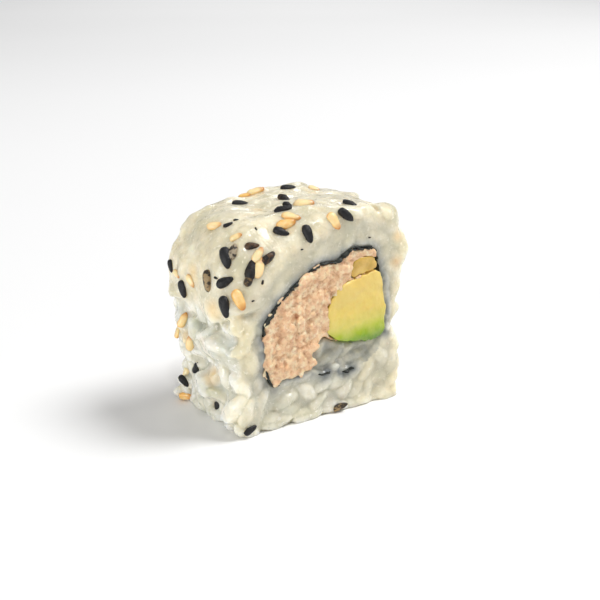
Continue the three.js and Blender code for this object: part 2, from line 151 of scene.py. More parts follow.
# The filling turns and shifts a little on its way from the front cut to the back one.
def drifted(co):
    t = (co.y + halfLength) / roll["length"]
    turn = math.radians(roll["twist"]) * t
    x, z = co.x, co.z - roll["middleHeight"]
    return Vector((
        x * math.cos(turn) - z * math.sin(turn) + roll["shear"][0] * t,
        co.y,
        roll["middleHeight"] + x * math.sin(turn) + z * math.cos(turn) + roll["shear"][1] * t,
    ))


# Where points lie in the section at the front cut.
def undrifted(points):
    t = (points[:, 1] + halfLength) / roll["length"]
    turn = math.radians(roll["twist"]) * t
    x = points[:, 0] - roll["shear"][0] * t
    z = points[:, 2] - roll["middleHeight"] - roll["shear"][1] * t
    return np.stack([
        x * np.cos(turn) + z * np.sin(turn),
        roll["middleHeight"] - x * np.sin(turn) + z * np.cos(turn),
    ], axis=1)


# A smooth curve through the points, cut into equal steps.
def smoothRoute(points, step=0.5, closed=False):
    pts = [Vector((p[0], p[1])) for p in points]
    n = len(pts)
    spans = n if closed else n - 1
    dense = []
    for i in range(spans):
        if closed:
            p0, p1, p2, p3 = pts[i - 1], pts[i], pts[(i + 1) % n], pts[(i + 2) % n]
        else:
            p0, p1, p2, p3 = pts[max(i - 1, 0)], pts[i], pts[i + 1], pts[min(i + 2, n - 1)]
        for k in range(12):
            t = k / 12
            dense.append(0.5 * (2 * p1 + (p2 - p0) * t + (2 * p0 - 5 * p1 + 4 * p2 - p3) * t**2
                                + (3 * p1 - p0 - 3 * p2 + p3) * t**3))
    dense.append(pts[0] if closed else pts[-1])
    out = [dense[0]]
    carried = 0.0
    for a, b in zip(dense, dense[1:]):
        gap = (b - a).length
        while carried + gap >= step:
            a = a + (b - a) * ((step - carried) / gap)
            out.append(a)
            gap = (b - a).length
            carried = 0.0
        carried += gap
    if closed:
        if (out[-1] - out[0]).length < step * 0.5:
            out.pop()
    elif (out[-1] - dense[-1]).length > step * 0.3:
        out.append(dense[-1])
    return out


def grown(outline, amount):
    n = len(outline)
    area = sum(outline[i - 1].x * outline[i].y - outline[i].x * outline[i - 1].y for i in range(n))
    sign = 1 if area > 0 else -1
    result = []
    for i, p in enumerate(outline):
        t = (outline[(i + 1) % n] - outline[i - 1]).normalized() * sign * amount
        result.append(Vector((p.x + t.y, p.y - t.x)))
    return result


def distanceTo(route, points):
    a = np.array([tuple(p) for p in route])[:-1]
    b = np.array([tuple(p) for p in route])[1:]
    best = np.full(len(points), 1e9)
    for p, q in zip(a, b):
        along = q - p
        t = np.clip(((points - p) @ along) / max(along @ along, 1e-9), 0, 1)
        best = np.minimum(best, np.linalg.norm(points - (p + t[:, None] * along), axis=1))
    return best


def newObject(name, bm):
    mesh = bpy.data.meshes.new(name)
    bm.to_mesh(mesh)
    bm.free()
    obj = bpy.data.objects.new(name, mesh)
    bpy.context.collection.objects.link(obj)
    return obj


def addTo(obj, bm):
    bm.from_mesh(obj.data)
    bm.to_mesh(obj.data)
    bm.free()


# Puts the result of the modifiers into the mesh.
def settle(obj):
    graph = bpy.context.evaluated_depsgraph_get()
    mesh = bpy.data.meshes.new_from_object(obj.evaluated_get(graph))
    old = obj.data
    obj.modifiers.clear()
    obj.data = mesh
    bpy.data.meshes.remove(old)


def fuse(obj, voxel):
    remesh = obj.modifiers.new("fuse", "REMESH")
    remesh.mode = "VOXEL"
    remesh.voxel_size = voxel
    settle(obj)


# Smooths the mesh, more where the weights are higher.
def soften(obj, factor, times, weights=None):
    smooth = obj.modifiers.new("soften", "SMOOTH")
    smooth.factor = factor
    smooth.iterations = times
    if weights is not None:
        group = obj.vertex_groups.new(name="soft")
        for level in range(1, 11):
            picked = np.nonzero(np.ceil(weights * 10) == level)[0]
            group.add([int(i) for i in picked], level / 10, "REPLACE")
        smooth.vertex_group = "soft"
    settle(obj)
    obj.vertex_groups.clear()


def cutAway(obj, cutter):
    cut = obj.modifiers.new("cut", "BOOLEAN")
    cut.operation = "DIFFERENCE"
    cut.solver = "MANIFOLD"
    cut.object = cutter
    settle(obj)
    bpy.data.objects.remove(cutter)


def treeOf(obj):
    bm = bmesh.new()
    bm.from_mesh(obj.data)
    tree = BVHTree.FromBMesh(bm)
    bm.free()
    return tree


def thin(obj, limit):
    triangles = sum(len(p.vertices) - 2 for p in obj.data.polygons)
    if triangles > limit:
        decimate = obj.modifiers.new("thin", "DECIMATE")
        decimate.ratio = limit / triangles
        settle(obj)


def coordinates(mesh):
    flat = np.empty(len(mesh.vertices) * 3, dtype=np.float32)
    mesh.vertices.foreach_get("co", flat)
    return flat.reshape(-1, 3).astype(float)


def vertexNormals(mesh):
    flat = np.empty(len(mesh.vertices) * 3, dtype=np.float32)
    mesh.vertex_normals.foreach_get("vector", flat)
    return flat.reshape(-1, 3).astype(float)


def setCoordinates(mesh, points):
    mesh.vertices.foreach_set("co", points.astype(np.float32).ravel())
    mesh.update()


def setAttribute(mesh, name, values):
    layer = mesh.attributes.new(name, "FLOAT", "POINT")
    layer.data.foreach_set("value", np.asarray(values, dtype=np.float32))


# How deep each vertex lies below its smoothed surroundings.
def hollowness(mesh, rounds, scale):
    points = coordinates(mesh)
    edges = np.empty(len(mesh.edges) * 2, dtype=np.int32)
    mesh.edges.foreach_get("vertices", edges)
    edges = edges.reshape(-1, 2)
    count = np.bincount(edges.ravel(), minlength=len(points)).astype(float)
    soft = points.copy()
    for _ in range(rounds):
        total = np.zeros_like(soft)
        np.add.at(total, edges[:, 0], soft[edges[:, 1]])
        np.add.at(total, edges[:, 1], soft[edges[:, 0]])
        soft = total / np.maximum(count, 1)[:, None]
    rise = ((soft - points) * vertexNormals(mesh)).sum(axis=1)
    return np.clip(rise / scale, -1, 1)


# Small waves, each with its height and its width.
def relief(co, waves):
    return sum(height * noise.noise(co / width) for height, width in waves)


# An outline drawn out from cut to cut, turning as the filling does.
def slab(outline, reach, steps=6):
    bm = bmesh.new()
    front = bm.faces.new([bm.verts.new((p[0], -reach, p[1])) for p in outline])
    geom = bmesh.ops.extrude_face_region(bm, geom=[front], use_keep_orig=True)["geom"]
    moved = [g for g in geom if isinstance(g, bmesh.types.BMVert)]
    bmesh.ops.translate(bm, verts=moved, vec=(0, 2 * reach, 0))
    for i in range(1, steps):
        y = -reach + 2 * reach * i / steps
        everything = bm.verts[:] + bm.edges[:] + bm.faces[:]
        bmesh.ops.bisect_plane(bm, geom=everything, plane_co=(0, y, 0), plane_no=(0, 1, 0))
    bmesh.ops.triangulate(bm, faces=[f for f in bm.faces if len(f.verts) > 4])
    bmesh.ops.recalc_face_normals(bm, faces=bm.faces)
    for v in bm.verts:
        v.co = drifted(v.co)
    return bm


def ball(bm, at, half, turn=None, detail=2):
    verts = bmesh.ops.create_icosphere(bm, subdivisions=detail, radius=1)["verts"]
    shape = Matrix.Diagonal((*half, 1))
    if turn is not None:
        shape = turn.to_4x4() @ shape
    bmesh.ops.transform(bm, matrix=Matrix.Translation(at) @ shape, verts=verts)
    return verts


# A turn that lays X along the heading and Z along the normal.
def laidFlat(normal, heading):
    u = heading - normal * heading.dot(normal)
    if u.length < 1e-4:
        u = normal.orthogonal()
    u.normalize()
    v = normal.cross(u)
    return Matrix((u, v, normal)).transposed()


# Keeps candidates that lie at least the spacing apart.
def spread(candidates, spacing):
    kept = []
    cells = {}
    for point, extra in candidates:
        key = tuple(int(math.floor(c / spacing)) for c in point)
        near = False
        for dx in (-1, 0, 1):
            for dy in (-1, 0, 1):
                for dz in (-1, 0, 1):
                    for other in cells.get((key[0] + dx, key[1] + dy, key[2] + dz), ()):
                        near = near or (other - point).length < spacing
        if not near:
            cells.setdefault(key, []).append(point)
            kept.append((point, extra))
    return kept


# Camera: the photograph's view, as it reads in a square image.
view = {
    "azimuth": -34.5,
    "elevation": 18.0,
    "distance": 227.7,
    "height": 20,
    "target": (2.466, 1.357),   # how far right of and above a point at that height in the middle
    "focal": 1100.0,            # in pixels of the frame
    "frame": 600,
    "sensor": 36,
}
azimuth = math.radians(view["azimuth"])
elevation = math.radians(view["elevation"])
viewBack = Vector((math.sin(azimuth) * math.cos(elevation),
                   -math.cos(azimuth) * math.cos(elevation), math.sin(elevation)))
viewRight = Vector((math.cos(azimuth), math.sin(azimuth), 0))
viewUp = viewBack.cross(viewRight)
target = Vector((0, 0, view["height"])) + viewRight * view["target"][0] + viewUp * view["target"][1]
eye = target + viewBack * view["distance"]


# The direction from the camera to a spot in the frame.
def sight(px, py):
    across = (px - view["frame"] / 2) / view["focal"]
    above = (view["frame"] / 2 - py) / view["focal"]
    return (viewRight * across + viewUp * above - viewBack).normalized()


print("stage: camera")
cameraData = bpy.data.cameras.new("camera")
cameraData.sensor_width = view["sensor"]
cameraData.lens = view["sensor"] * view["focal"] / view["frame"]
cameraData.clip_start = 0.01
camera = bpy.data.objects.new("camera", cameraData)
camera.location = eye * mm
camera.rotation_euler = viewBack.to_track_quat("Z", "Y").to_euler()
bpy.context.collection.objects.link(camera)
bpy.context.scene.camera = camera

# Rice mass: a core, big lumps and single grains, fused into one body and cut open for the filling.
rice = {
    "coreInset": 1.0,            # how far the core lies inside the outline, loose and pressed
    "skinInset": -0.15,
    "footHeight": 2.4,           # what lies lower than this is pressed flat on the floor
    "footDrop": 2.0,
    "footIn": 0.05,
    "roughCut": 9.0,             # below this height the grains stand out of the cut
    "calmRight": 7.0,            # right of this the front cut is smooth down to the foot
    "smoothSkin": (48, 172),     # degrees between which the skin was pressed smooth
    "grain": (3.1, 1.25, 1.1),   # half sizes of a cooked grain
    "spacing": 2.8,              # between grains: at the loose sides, the pressed skin and the cuts
    "skinSpacing": 3.4,
    "faceSpacing": 2.7,
    "shownRoom": 2.3,            # other grains keep this far from those in the shown list
    "lumps": [                   # middle and half sizes
        ((-18.2, -5.0, 17.2), (3.6, 7.6, 4.6)),
        ((-16.9, -10.4, 5.0), (3.8, 3.4, 5.2)),
        ((-18.6, 0.4, 6.6), (2.6, 4.4, 2.6)),
        ((-18.4, 8.6, 18.6), (2.9, 4.0, 3.4)),
        ((18.0, -9.4, 6.9), (3.2, 3.6, 4.2)),
        ((16.8, -9.8, 37.8), (3.4, 3.0, 3.8)),
        ((10.4, -10.2, 39.6), (3.2, 2.6, 3.4)),
        ((-19.4, 9.6, 24.4), (2.6, 3.0, 3.2)),
        ((8.4, 9.4, 40.6), (4.2, 3.4, 3.0)),
    ],
    "notches": [                 # middle and half sizes
        ((-21.0, 1.6, 11.0), (3.0, 6.5, 1.7)),
        ((21.0, -9.6, 10.2), (2.1, 5.0, 1.3)),
        ((13.7, -11.0, 42.8), (0.7, 4.0, 2.6)),
    ],
    # Shares of the nori's route that rice lies over.
    "covered": [(0.0, 0.17), (0.63, 0.69), (0.785, 0.88)],
    # How high the ledge of the left side lies, from the front cut to the back one.
    "ledge": [(-12.7, 25.5), (-6, 22.0), (1.5, 20.2), (5, 24.0), (13, 23.0)],
    "ledgeRise": 0.45,           # how far the skin stands out over the ledge, and in under it
    "ledgeDrop": 0.75,
    "coarseVoxel": 0.6,
    "voxel": 0.27,
    "limit": 195000,             # triangles
    "waves": [(0.8, 6.5), (0.3, 2.4), (0.1, 1.1)],    # height and width of the unevenness
    # Grains that stand out in the photograph: across, down, turn in degrees and size.
    "shown": [
        (335, 352, 50, 0.95), (325, 358, 25, 0.85), (318, 349, 80, 0.75), (346, 348, 35, 0.8),
        (354, 355, 10, 0.8), (331, 367, 5, 0.75), (308, 392, -30, 0.95), (322, 386, 15, 0.9),
        (338, 381, 5, 0.9), (203, 383, -48, 1.3), (218, 396, -50, 1.2), (222, 374, -15, 1.0),
        (240, 386, -40, 1.1), (198, 352, 15, 1.0), (216, 346, -10, 1.1), (238, 352, 20, 1.0),
        (206, 331, -5, 1.1), (230, 330, 10, 1.1), (248, 338, 60, 0.95), (252, 362, -60, 0.95),
        (263, 397, 70, 1.0), (285, 401, 20, 1.0), (300, 413, -10, 1.0), (317, 402, 30, 0.95),
        (234, 410, 40, 1.25), (246, 414, 75, 1.1), (269, 419, 5, 1.0),
    ],
    "proudest": 0.5,             # grains that stand out of a cut by more are pushed back
    "skinRounds": 34,            # rounds of smoothing, and the shares that the side and the cut get
    "sideSmooth": 0.04,
    "cutSmooth": 0.12,
    "seed": 11,
}
random.seed(rice["seed"])
noriLine = smoothRoute(noriSheet["route"], 0.5)
tongueLine = smoothRoute(tongue["route"], 0.5)
startCorner = Vector(tongue["route"][0])
nearest = min(range(len(noriLine)), key=lambda i: (noriLine[i] - startCorner).length)
cavityOutline = noriLine[:nearest + 1] + tongueLine[1:-1]
tongueOutline = tongueLine + [Vector(p) for p in tongue["seam"]] + noriLine[nearest + 1:][::-1]


def insideOutline(points, outline):
    x, z = points[:, 0], points[:, 1]
    inside = np.zeros(len(points), dtype=bool)
    for a, b in zip(outline, outline[-1:] + outline[:-1]):
        if abs(b.y - a.y) > 1e-9:
            edgeX = (b.x - a.x) * (z - a.y) / (b.y - a.y) + a.x
            inside ^= ((a.y > z) != (b.y > z)) & (x < edgeX)
    return inside


def isSmooth(angle):
    low, high = rice["smoothSkin"]
    return low < math.degrees(angle) % 360 < high


# How smooth the rice was pressed at each point, from 0 to 1.
def pressed(points):
    degrees = np.degrees(np.arctan2(points[:, 2] - roll["middleHeight"], points[:, 0])) % 360
    low, high = rice["smoothSkin"]
    skin = np.clip((degrees - low + 6) / 12, 0, 1) * np.clip((high + 4 - degrees) / 8, 0, 1)
    skin = np.maximum(skin, rice["sideSmooth"] * (points[:, 2] > 1.5))
    radius = np.hypot(points[:, 0], points[:, 2] - roll["middleHeight"])
    onFace = np.clip((np.abs(points[:, 1]) - halfLength + 1.6) / 0.8, 0, 1)
    upper = np.clip((points[:, 2] - rice["roughCut"]) / 8, 0, 1)
    calm = np.clip((points[:, 0] - rice["calmRight"]) / 3, 0, 1) * (points[:, 1] < 0)
    upper = np.maximum(upper, 0.75 * calm)
    clear = np.clip((distanceTo(noriLine, undrifted(points)) - 0.9) / 1.6, 0, 1)
    onCut = mix(rice["cutSmooth"], 0.8, upper) * onFace * clear
    return np.maximum(skin * (radius > 14) * (1 - onFace), onCut)


def riceCore():
    bm = bmesh.new()
    bmesh.ops.create_cube(bm, size=2)
    bmesh.ops.subdivide_edges(bm, edges=bm.edges[:], cuts=27, use_grid_fill=True)
    low, high = rice["smoothSkin"]
    for v in bm.verts:
        share = max(abs(v.co.x), abs(v.co.z))
        angle = math.atan2(v.co.z, v.co.x)
        degrees = math.degrees(angle) % 360
        smoothness = smoothStep(low - 8, low + 4, degrees)
        smoothness *= 1 - smoothStep(high - 4, high + 8, degrees)
        inset = mix(rice["coreInset"], rice["skinInset"], smoothness)
        y = v.co.y * (halfLength - 0.35)
        v.co = skinPoint(angle, y)
        middle = Vector((0, y, roll["middleHeight"]))
        spoke = v.co - middle
        v.co = middle + spoke * (share * (spoke.length - inset) / spoke.length)
        if share > 0.999 and v.co.z < rice["footHeight"]:
            v.co.z -= rice["footDrop"]
        v.co.y *= 1 - rice["footIn"] * (1 - smoothStep(0, 3.5, v.co.z))
    return bm


grains = []      # what was laid: middle, turn and half sizes


def addGrain(bm, at, normal, heading, size=1.0):
    length, width, height = (h * size for h in rice["grain"])
    half = (length * random.uniform(0.86, 1.08), width * random.uniform(0.92, 1.15), height)
    turn = laidFlat(normal, heading)
    grains.append((at, turn, half))
    return ball(bm, at, half, turn, 2)


def randomHeading():
    return Vector([random.gauss(0, 1) for _ in range(3)])


def tilted(normal, amount):
    return (normal + randomHeading() * amount).normalized()


def shownGrains(bm, tree):
    for px, py, turn, size in rice["shown"]:
        hit, normal, _, _ = tree.ray_cast(eye, sight(px, py))
        angle = math.radians(turn)
        heading = viewRight * math.cos(angle) + viewUp * math.sin(angle)
        addGrain(bm, hit - normal * 0.1, normal, heading, size)


def farFromShown(point):
    middles = [middle for middle, _, _ in grains[:len(rice["shown"])]]
    return min((middle - point).length for middle in middles) > rice["shownRoom"]


def onLump(point):
    for at, half in rice["lumps"]:
        away = point - Vector(at)
        if sum((away[k] / (half[k] + 0.8))**2 for k in range(3)) < 1:
            return True
    return False


def skinGrains(bm):
    candidates = []
    for _ in range(5000):
        angle = random.uniform(-math.pi, math.pi)
        y = random.uniform(-halfLength + 0.6, halfLength - 0.6)
        if math.sin(angle) > -0.85:
            candidates.append((skinPoint(angle, y), (angle, y)))
    rough = [c for c in candidates if not isSmooth(c[1][0])]
    smooth = [c for c in candidates if isSmooth(c[1][0])]
    for point, (angle, y) in spread(rough, rice["spacing"]):
        normal = skinNormal(angle, y)
        depth = random.uniform(0.35, 1.35)
        if farFromShown(point) and not (onLump(point) and random.random() < 0.75):
            addGrain(bm, point - normal * depth, tilted(normal, 0.22), randomHeading(), 1.1)
    for point, (angle, y) in spread(smooth, rice["skinSpacing"]):
        normal = skinNormal(angle, y)
        depth = random.uniform(0.75, 1.05)
        addGrain(bm, point - normal * depth, tilted(normal, 0.05), randomHeading(), 1.08)


def faceRoom(x, z, y):
    angle = math.atan2(z - roll["middleHeight"], x)
    return skinReach(angle, y) - math.hypot(x, z - roll["middleHeight"])


def faceGrains(bm):
    for side in (-1, 1):
        y = side * halfLength
        spots = []
        for _ in range(5000):
            x, z = random.uniform(-23, 23), random.uniform(0.8, 44)
            room = faceRoom(x, z, y)
            if room > 1.1:
                spots.append((x, z, room))
        section = np.array([(x, z) for x, z, _ in spots])
        gap = distanceTo(noriLine, section)
        inCavity = insideOutline(section, cavityOutline)
        inTongue = insideOutline(section, tongueOutline)
        candidates = []
        for (x, z, room), toNori, filled, tongued in zip(spots, gap, inCavity, inTongue):
            if toNori > 0.9 and not filled:
                candidates.append((drifted(Vector((x, y, z))), (x, z, room, tongued)))
        for point, (x, z, room, tongued) in spread(candidates, rice["faceSpacing"]):
            if not farFromShown(point):
                continue
            normal = Vector((0, side, 0))
            depth = random.uniform(0.6, 1.15) + 0.4 * smoothStep(8, 15, z)
            heading = randomHeading()
            if tongued:
                depth = tongue["recess"] + random.uniform(0.6, 1.0)
            elif room < 3.4:
                outward = Vector((x, 0, z - roll["middleHeight"])).normalized()
                heading = normal.cross(outward) + randomHeading() * 0.22
            addGrain(bm, point - normal * depth, tilted(normal, 0.16), heading)


def footGrains(bm):
    for side in (-1, 1):
        x = -20.0
        while x < 20:
            at = Vector((x, side * (halfLength - random.uniform(0.5, 1.0)), random.uniform(0.7, 1.3)))
            at.x = max(-18.6, min(18.6, at.x))
            addGrain(bm, at, tilted(Vector((0, side, 0)), 0.2), Vector((1, 0, random.gauss(0, 0.4))))
            x += random.uniform(2.4, 5.2)
    for angle in (math.radians(226), math.radians(-46)):
        y = -halfLength + 1.5
        while y < halfLength - 1:
            at = skinPoint(angle, y, random.uniform(0.6, 1.3))
            at.z = random.uniform(0.8, 1.4)
            addGrain(bm, at, tilted(skinNormal(angle, y), 0.2), Vector((0, 1, random.gauss(0, 0.4))))
            y += random.uniform(2.6, 5.0)


def rimGrains(bm):
    outer = grown(noriLine, 1)
    for low, high in rice["covered"]:
        i = int(low * len(noriLine)) + 1
        while i < high * len(noriLine):
            away = (outer[i] - noriLine[i]) * random.uniform(0.6, 0.9)
            along = noriLine[i + 1] - noriLine[i - 1]
            for side in (-1, 1):
                y = side * (halfLength - random.uniform(0.75, 1.0))
                at = drifted(Vector((noriLine[i].x + away.x, y, noriLine[i].y + away.y)))
                heading = Vector((along.x, random.gauss(0, 0.1), along.y))
                addGrain(bm, at, Vector((0, side, 0)), heading, 0.95)
            i += random.randint(6, 9)


# For each point: its grain's tone, how near a seam it lies and how far out of any grain.
def grainPattern(points):
    tree = KDTree(len(grains))
    for i, (middle, _, _) in enumerate(grains):
        tree.insert(middle, i)
    tree.balance()
    near = np.array([[found[1] for found in tree.find_n(Vector(p), 7)] for p in points])
    middles = np.array([tuple(g[0]) for g in grains])
    turns = np.array([g[1] for g in grains])
    halves = np.array([g[2] for g in grains])
    local = np.einsum("vij,vijk->vik", points[:, None, :] - middles[near], turns[near])
    reach = np.linalg.norm(local / halves[near], axis=2)
    order = np.argsort(reach, axis=1)
    first = np.take_along_axis(reach, order[:, :1], axis=1)[:, 0]
    second = np.take_along_axis(reach, order[:, 1:2], axis=1)[:, 0]
    owner = np.take_along_axis(near, order[:, :1], axis=1)[:, 0]
    tones = np.array([random.random() for _ in grains])
    return tones[owner], np.clip(1 - (second - first) / 0.28, 0, 1), np.clip((first - 1.0) / 0.5, 0, 1)


# Uneven rice, with the ledge along the left side.
def lift(mesh):
    points = coordinates(mesh)
    normals = vertexNormals(mesh)
    ledgeY = [p[0] for p in rice["ledge"]]
    ledgeZ = [p[1] for p in rice["ledge"]]
    moved = points.copy()
    for i, p in enumerate(points):
        co = Vector(p)
        rise = relief(co, rice["waves"])
        if abs(p[1]) > halfLength - 1.2 or p[2] < 2:
            rise *= 0.4
        if p[0] < -13:
            edge = float(np.interp(p[1], ledgeY, ledgeZ)) + 0.5 * noise.noise(co / 3.1)
            above = p[2] - edge
            side = smoothStep(-13, -16, p[0])
            if above > 0:
                rise += side * rice["ledgeRise"] * (1 - smoothStep(0.5, 9, above))
            else:
                rise -= side * rice["ledgeDrop"] * (1 - smoothStep(0.2, 2.4, -above))
        moved[i] = p + normals[i] * rise
    setCoordinates(mesh, moved)


# Grains that stand too far out of a cut go back halfway.
def drawIn(mesh):
    points = coordinates(mesh)
    beyond = np.maximum(np.abs(points[:, 1]) - halfLength - rice["proudest"], 0)
    points[:, 1] -= np.sign(points[:, 1]) * beyond * 0.5
    setCoordinates(mesh, points)


def floorCut(obj):
    bm = bmesh.new()
    below = Matrix.Translation((0, 0, -10)) @ Matrix.Diagonal((90, 90, 20, 1))
    bmesh.ops.create_cube(bm, size=1, matrix=below)
    cutAway(obj, newObject("cutter", bm))


def recessTongue(obj):
    for side in (-1, 1):
        bm = slab(tongueOutline, halfLength)
        shift = side * (roll["length"] - tongue["recess"])
        bmesh.ops.translate(bm, verts=bm.verts, vec=(0, shift, 0))
        cutAway(obj, newObject("cutter", bm))


def cutNotches(obj):
    bm = bmesh.new()
    for at, half in rice["notches"]:
        ball(bm, at, half, detail=3)
    cutAway(obj, newObject("cutter", bm))


def addGrains(obj, *layers):
    bm = bmesh.new()
    for layGrains in layers:
        layGrains(bm)
    addTo(obj, bm)
    fuse(obj, rice["voxel"])


def makeRice():
    bm = riceCore()
    for at, half in rice["lumps"]:
        ball(bm, at, half, detail=3)
    obj = newObject("riceMass", bm)
    fuse(obj, rice["coarseVoxel"])
    recessTongue(obj)
    tree = treeOf(obj)
    addGrains(obj, lambda bm: shownGrains(bm, tree), skinGrains, faceGrains, footGrains)
    cutNotches(obj)
    lift(obj.data)
    drawIn(obj.data)
    cutAway(obj, newObject("cutter", slab(cavityOutline, halfLength + 4)))
    addGrains(obj, rimGrains)
    soften(obj, 0.5, 1)
    soften(obj, 0.5, rice["skinRounds"], pressed(coordinates(obj.data)))
    floorCut(obj)
    thin(obj, rice["limit"])
    return obj


print("stage: rice")
riceMass = makeRice()
riceTree = treeOf(riceMass)

# Sesame. Each seed that shows is set down on the rice under its spot in the photograph's frame.
# A row says how far across and down that is, the turn in degrees, how toasted and what size.
sesame = {
    "half": (1.75, 0.86, 0.6),   # half sizes of a whole seed
    "blackTaper": 0.27,
    "tanTaper": 0.2,
    "sunk": 0.42,                # share of its height that lies in the rice
    "lowest": 0.03,
    "middle": (300, 305),        # a seed that misses the rice moves this way
    "black": [
        (288, 188, 10, 0.0, 0.9), (240, 204, -4, 0.0, 1.0), (284, 199, -60, 0.35, 1.0),
        (283, 210, 15, 0.0, 1.1), (288, 206, -62, 0.0, 0.8), (281, 232, -20, 0.0, 0.9),
        (308, 234, -70, 0.0, 1.05), (350, 204, -45, 0.0, 0.9), (346, 215, -35, 0.0, 1.05),
        (228, 225, 30, 0.0, 0.6), (226, 258, -72, 0.0, 1.3), (233, 252, 75, 0.95, 1.0),
        (208, 281, -80, 0.8, 1.3), (225, 282, 25, 0.0, 1.0), (252, 246, 5, 0.5, 0.8),
        (268, 258, 40, 0.5, 0.95), (251, 270, 78, 0.2, 1.1), (249, 279, 70, 0.6, 0.9),
        (225, 307, -80, 0.0, 1.2), (171, 266, -70, 0.0, 0.8), (183, 289, -80, 0.0, 1.0),
        (197, 368, 50, 0.0, 1.0), (184, 381, -50, 0.0, 0.9), (218, 406, -80, 0.1, 0.9),
        (250, 430, 25, 0.0, 0.85), (340, 412, 10, 0.75, 1.0), (236, 220, 0, 0.0, 0.3),
        (256, 229, -60, 0.0, 0.22), (302, 249.5, 0, 0.0, 0.18), (253, 301, 0, 0.0, 0.2),
        (369.6, 237.5, 0, 0.3, 0.18), (262.6, 282.3, 80, 0.5, 0.28), (216, 278, -20, 0.0, 0.3),
    ],
    "tan": [
        (255, 191, 30, 0.3, 1.2), (245, 196, 25, 0.9, 0.8), (304, 204, 3, 0.2, 1.2),
        (314, 189, -30, 0.1, 0.8), (291, 217, -15, 0.4, 1.1), (286, 224, 18, 0.8, 1.1),
        (334, 221, -55, 0.4, 1.15), (215, 226, -12, 0.3, 1.0), (236, 237, 20, 0.3, 0.8),
        (258, 255, 60, 0.1, 1.0), (259, 268, 75, 0.2, 1.2), (239, 300, -65, 0.8, 1.25),
        (177, 274, -20, 0.1, 0.7), (191, 281, -50, 0.2, 0.9), (183, 320, 62, 0.5, 1.0),
        (179, 331, 72, 0.5, 0.9), (190, 343, 85, 0.3, 1.0), (187, 372, 80, 0.1, 1.0),
        (186, 396, 15, 0.9, 1.0),
    ],
    "unseen": 46,                # seeds on the sides that the photograph doesn't show
    "unseenSpacing": 4.6,
    # Brown stains on the rice: across, down and radius in mm.
    "stains": [(212.6, 375, 2.2), (258, 210, 1.6), (249, 195, 2.6), (193, 274, 2.0), (286, 226, 2.0),
               (213, 310, 2.4), (184, 340, 2.4), (396, 262, 1.8), (398, 236, 1.6)],
    "seed": 5,
}


def addSeed(bm, point, normal, heading, size, taper, toasted):
    length, width, height = (h * size for h in sesame["half"])
    along = bm.verts.layers.float["along"]
    toast = bm.verts.layers.float["toast"]
    rim = bm.verts.layers.float["rim"]
    verts = bmesh.ops.create_uvsphere(bm, u_segments=12, v_segments=9, radius=1)["verts"]
    bmesh.ops.rotate(bm, verts=verts, cent=(0, 0, 0), matrix=Matrix.Rotation(math.pi / 2, 3, "Y"))
    for v in verts:
        v[along] = v.co.x
        v[toast] = toasted
        v[rim] = smoothStep(0.55, 1.0, v.co.x**2 + v.co.y**2)
        narrow = (1 - taper * v.co.x) * (1 + 0.22 * v.co.x**2)
        v.co += Vector((0.05, 0.16, 0.2)) * noise.noise(v.co * 1.5 + point)
        v.co = Vector((v.co.x * length, v.co.y * width * narrow, v.co.z * height * narrow))
    base = laidFlat(normal, heading).to_4x4()
    base.translation = point + normal * (height - sesame["sunk"] * 2 * height)
    bmesh.ops.transform(bm, matrix=base, verts=verts)
    lowest = min(v.co.z for v in verts)
    if lowest < sesame["lowest"]:
        bmesh.ops.translate(bm, verts=verts, vec=(0, 0, sesame["lowest"] - lowest))


# Where a seed lands on the rice.
def spotOnRice(px, py):
    middle = Vector(sesame["middle"])
    for step in range(60):
        spot = Vector((px, py)).lerp(middle, step * 0.01)
        hit, normal, _, _ = riceTree.ray_cast(eye, sight(*spot))
        if hit is not None:
            return hit, normal


def makeSeeds(name, listed, unseen, taper):
    bm = bmesh.new()
    bm.verts.layers.float.new("along")
    bm.verts.layers.float.new("toast")
    bm.verts.layers.float.new("rim")
    for px, py, turn, toasted, size in listed:
        hit, normal = spotOnRice(px, py)
        angle = math.radians(turn)
        heading = viewRight * math.cos(angle) + viewUp * math.sin(angle)
        tipped = heading.cross(viewBack) * random.gauss(0, 0.25)
        calm = (normal + viewBack * 0.45 + tipped).normalized()
        addSeed(bm, hit, calm, heading, size * random.uniform(0.95, 1.05), taper, toasted)
    for point, normal in unseen:
        size = random.uniform(0.9, 1.12)
        addSeed(bm, point, normal, randomHeading(), size, taper, random.random() * 0.7)
    return newObject(name, bm)


# True where the rice hides a seed from the camera.
def isHidden(point):
    for way in (viewRight, -viewRight, viewUp, -viewUp):
        line = point + way * 2 - eye
        hit, _, _, distance = riceTree.ray_cast(eye, line.normalized())
        if hit is None or distance > line.length - 0.5:
            return False
    return True


def unseenSpots():
    candidates = []
    for _ in range(3000):
        angle = random.uniform(math.radians(-40), math.radians(215))
        y = random.uniform(-halfLength + 1.5, halfLength - 1.5)
        point = skinPoint(angle, y)
        outward = skinNormal(angle, y)
        if outward.dot((eye - point).normalized()) > -0.22:
            continue
        start = point + outward * 6
        hit, normal, _, _ = riceTree.ray_cast(start, -outward)
        if hit is not None and isHidden(hit + normal):
            candidates.append((hit, normal))
    return spread(candidates, sesame["unseenSpacing"])[:sesame["unseen"]]


print("stage: sesame")
random.seed(sesame["seed"])
spots = unseenSpots()
blackSesame = makeSeeds("blackSesame", sesame["black"], spots[0::2], sesame["blackTaper"])
tanSesame = makeSeeds("tanSesame", sesame["tan"], spots[1::2], sesame["tanTaper"])

# Nori: one thin sheet round the filling, its cut edges torn.
print("stage: nori")


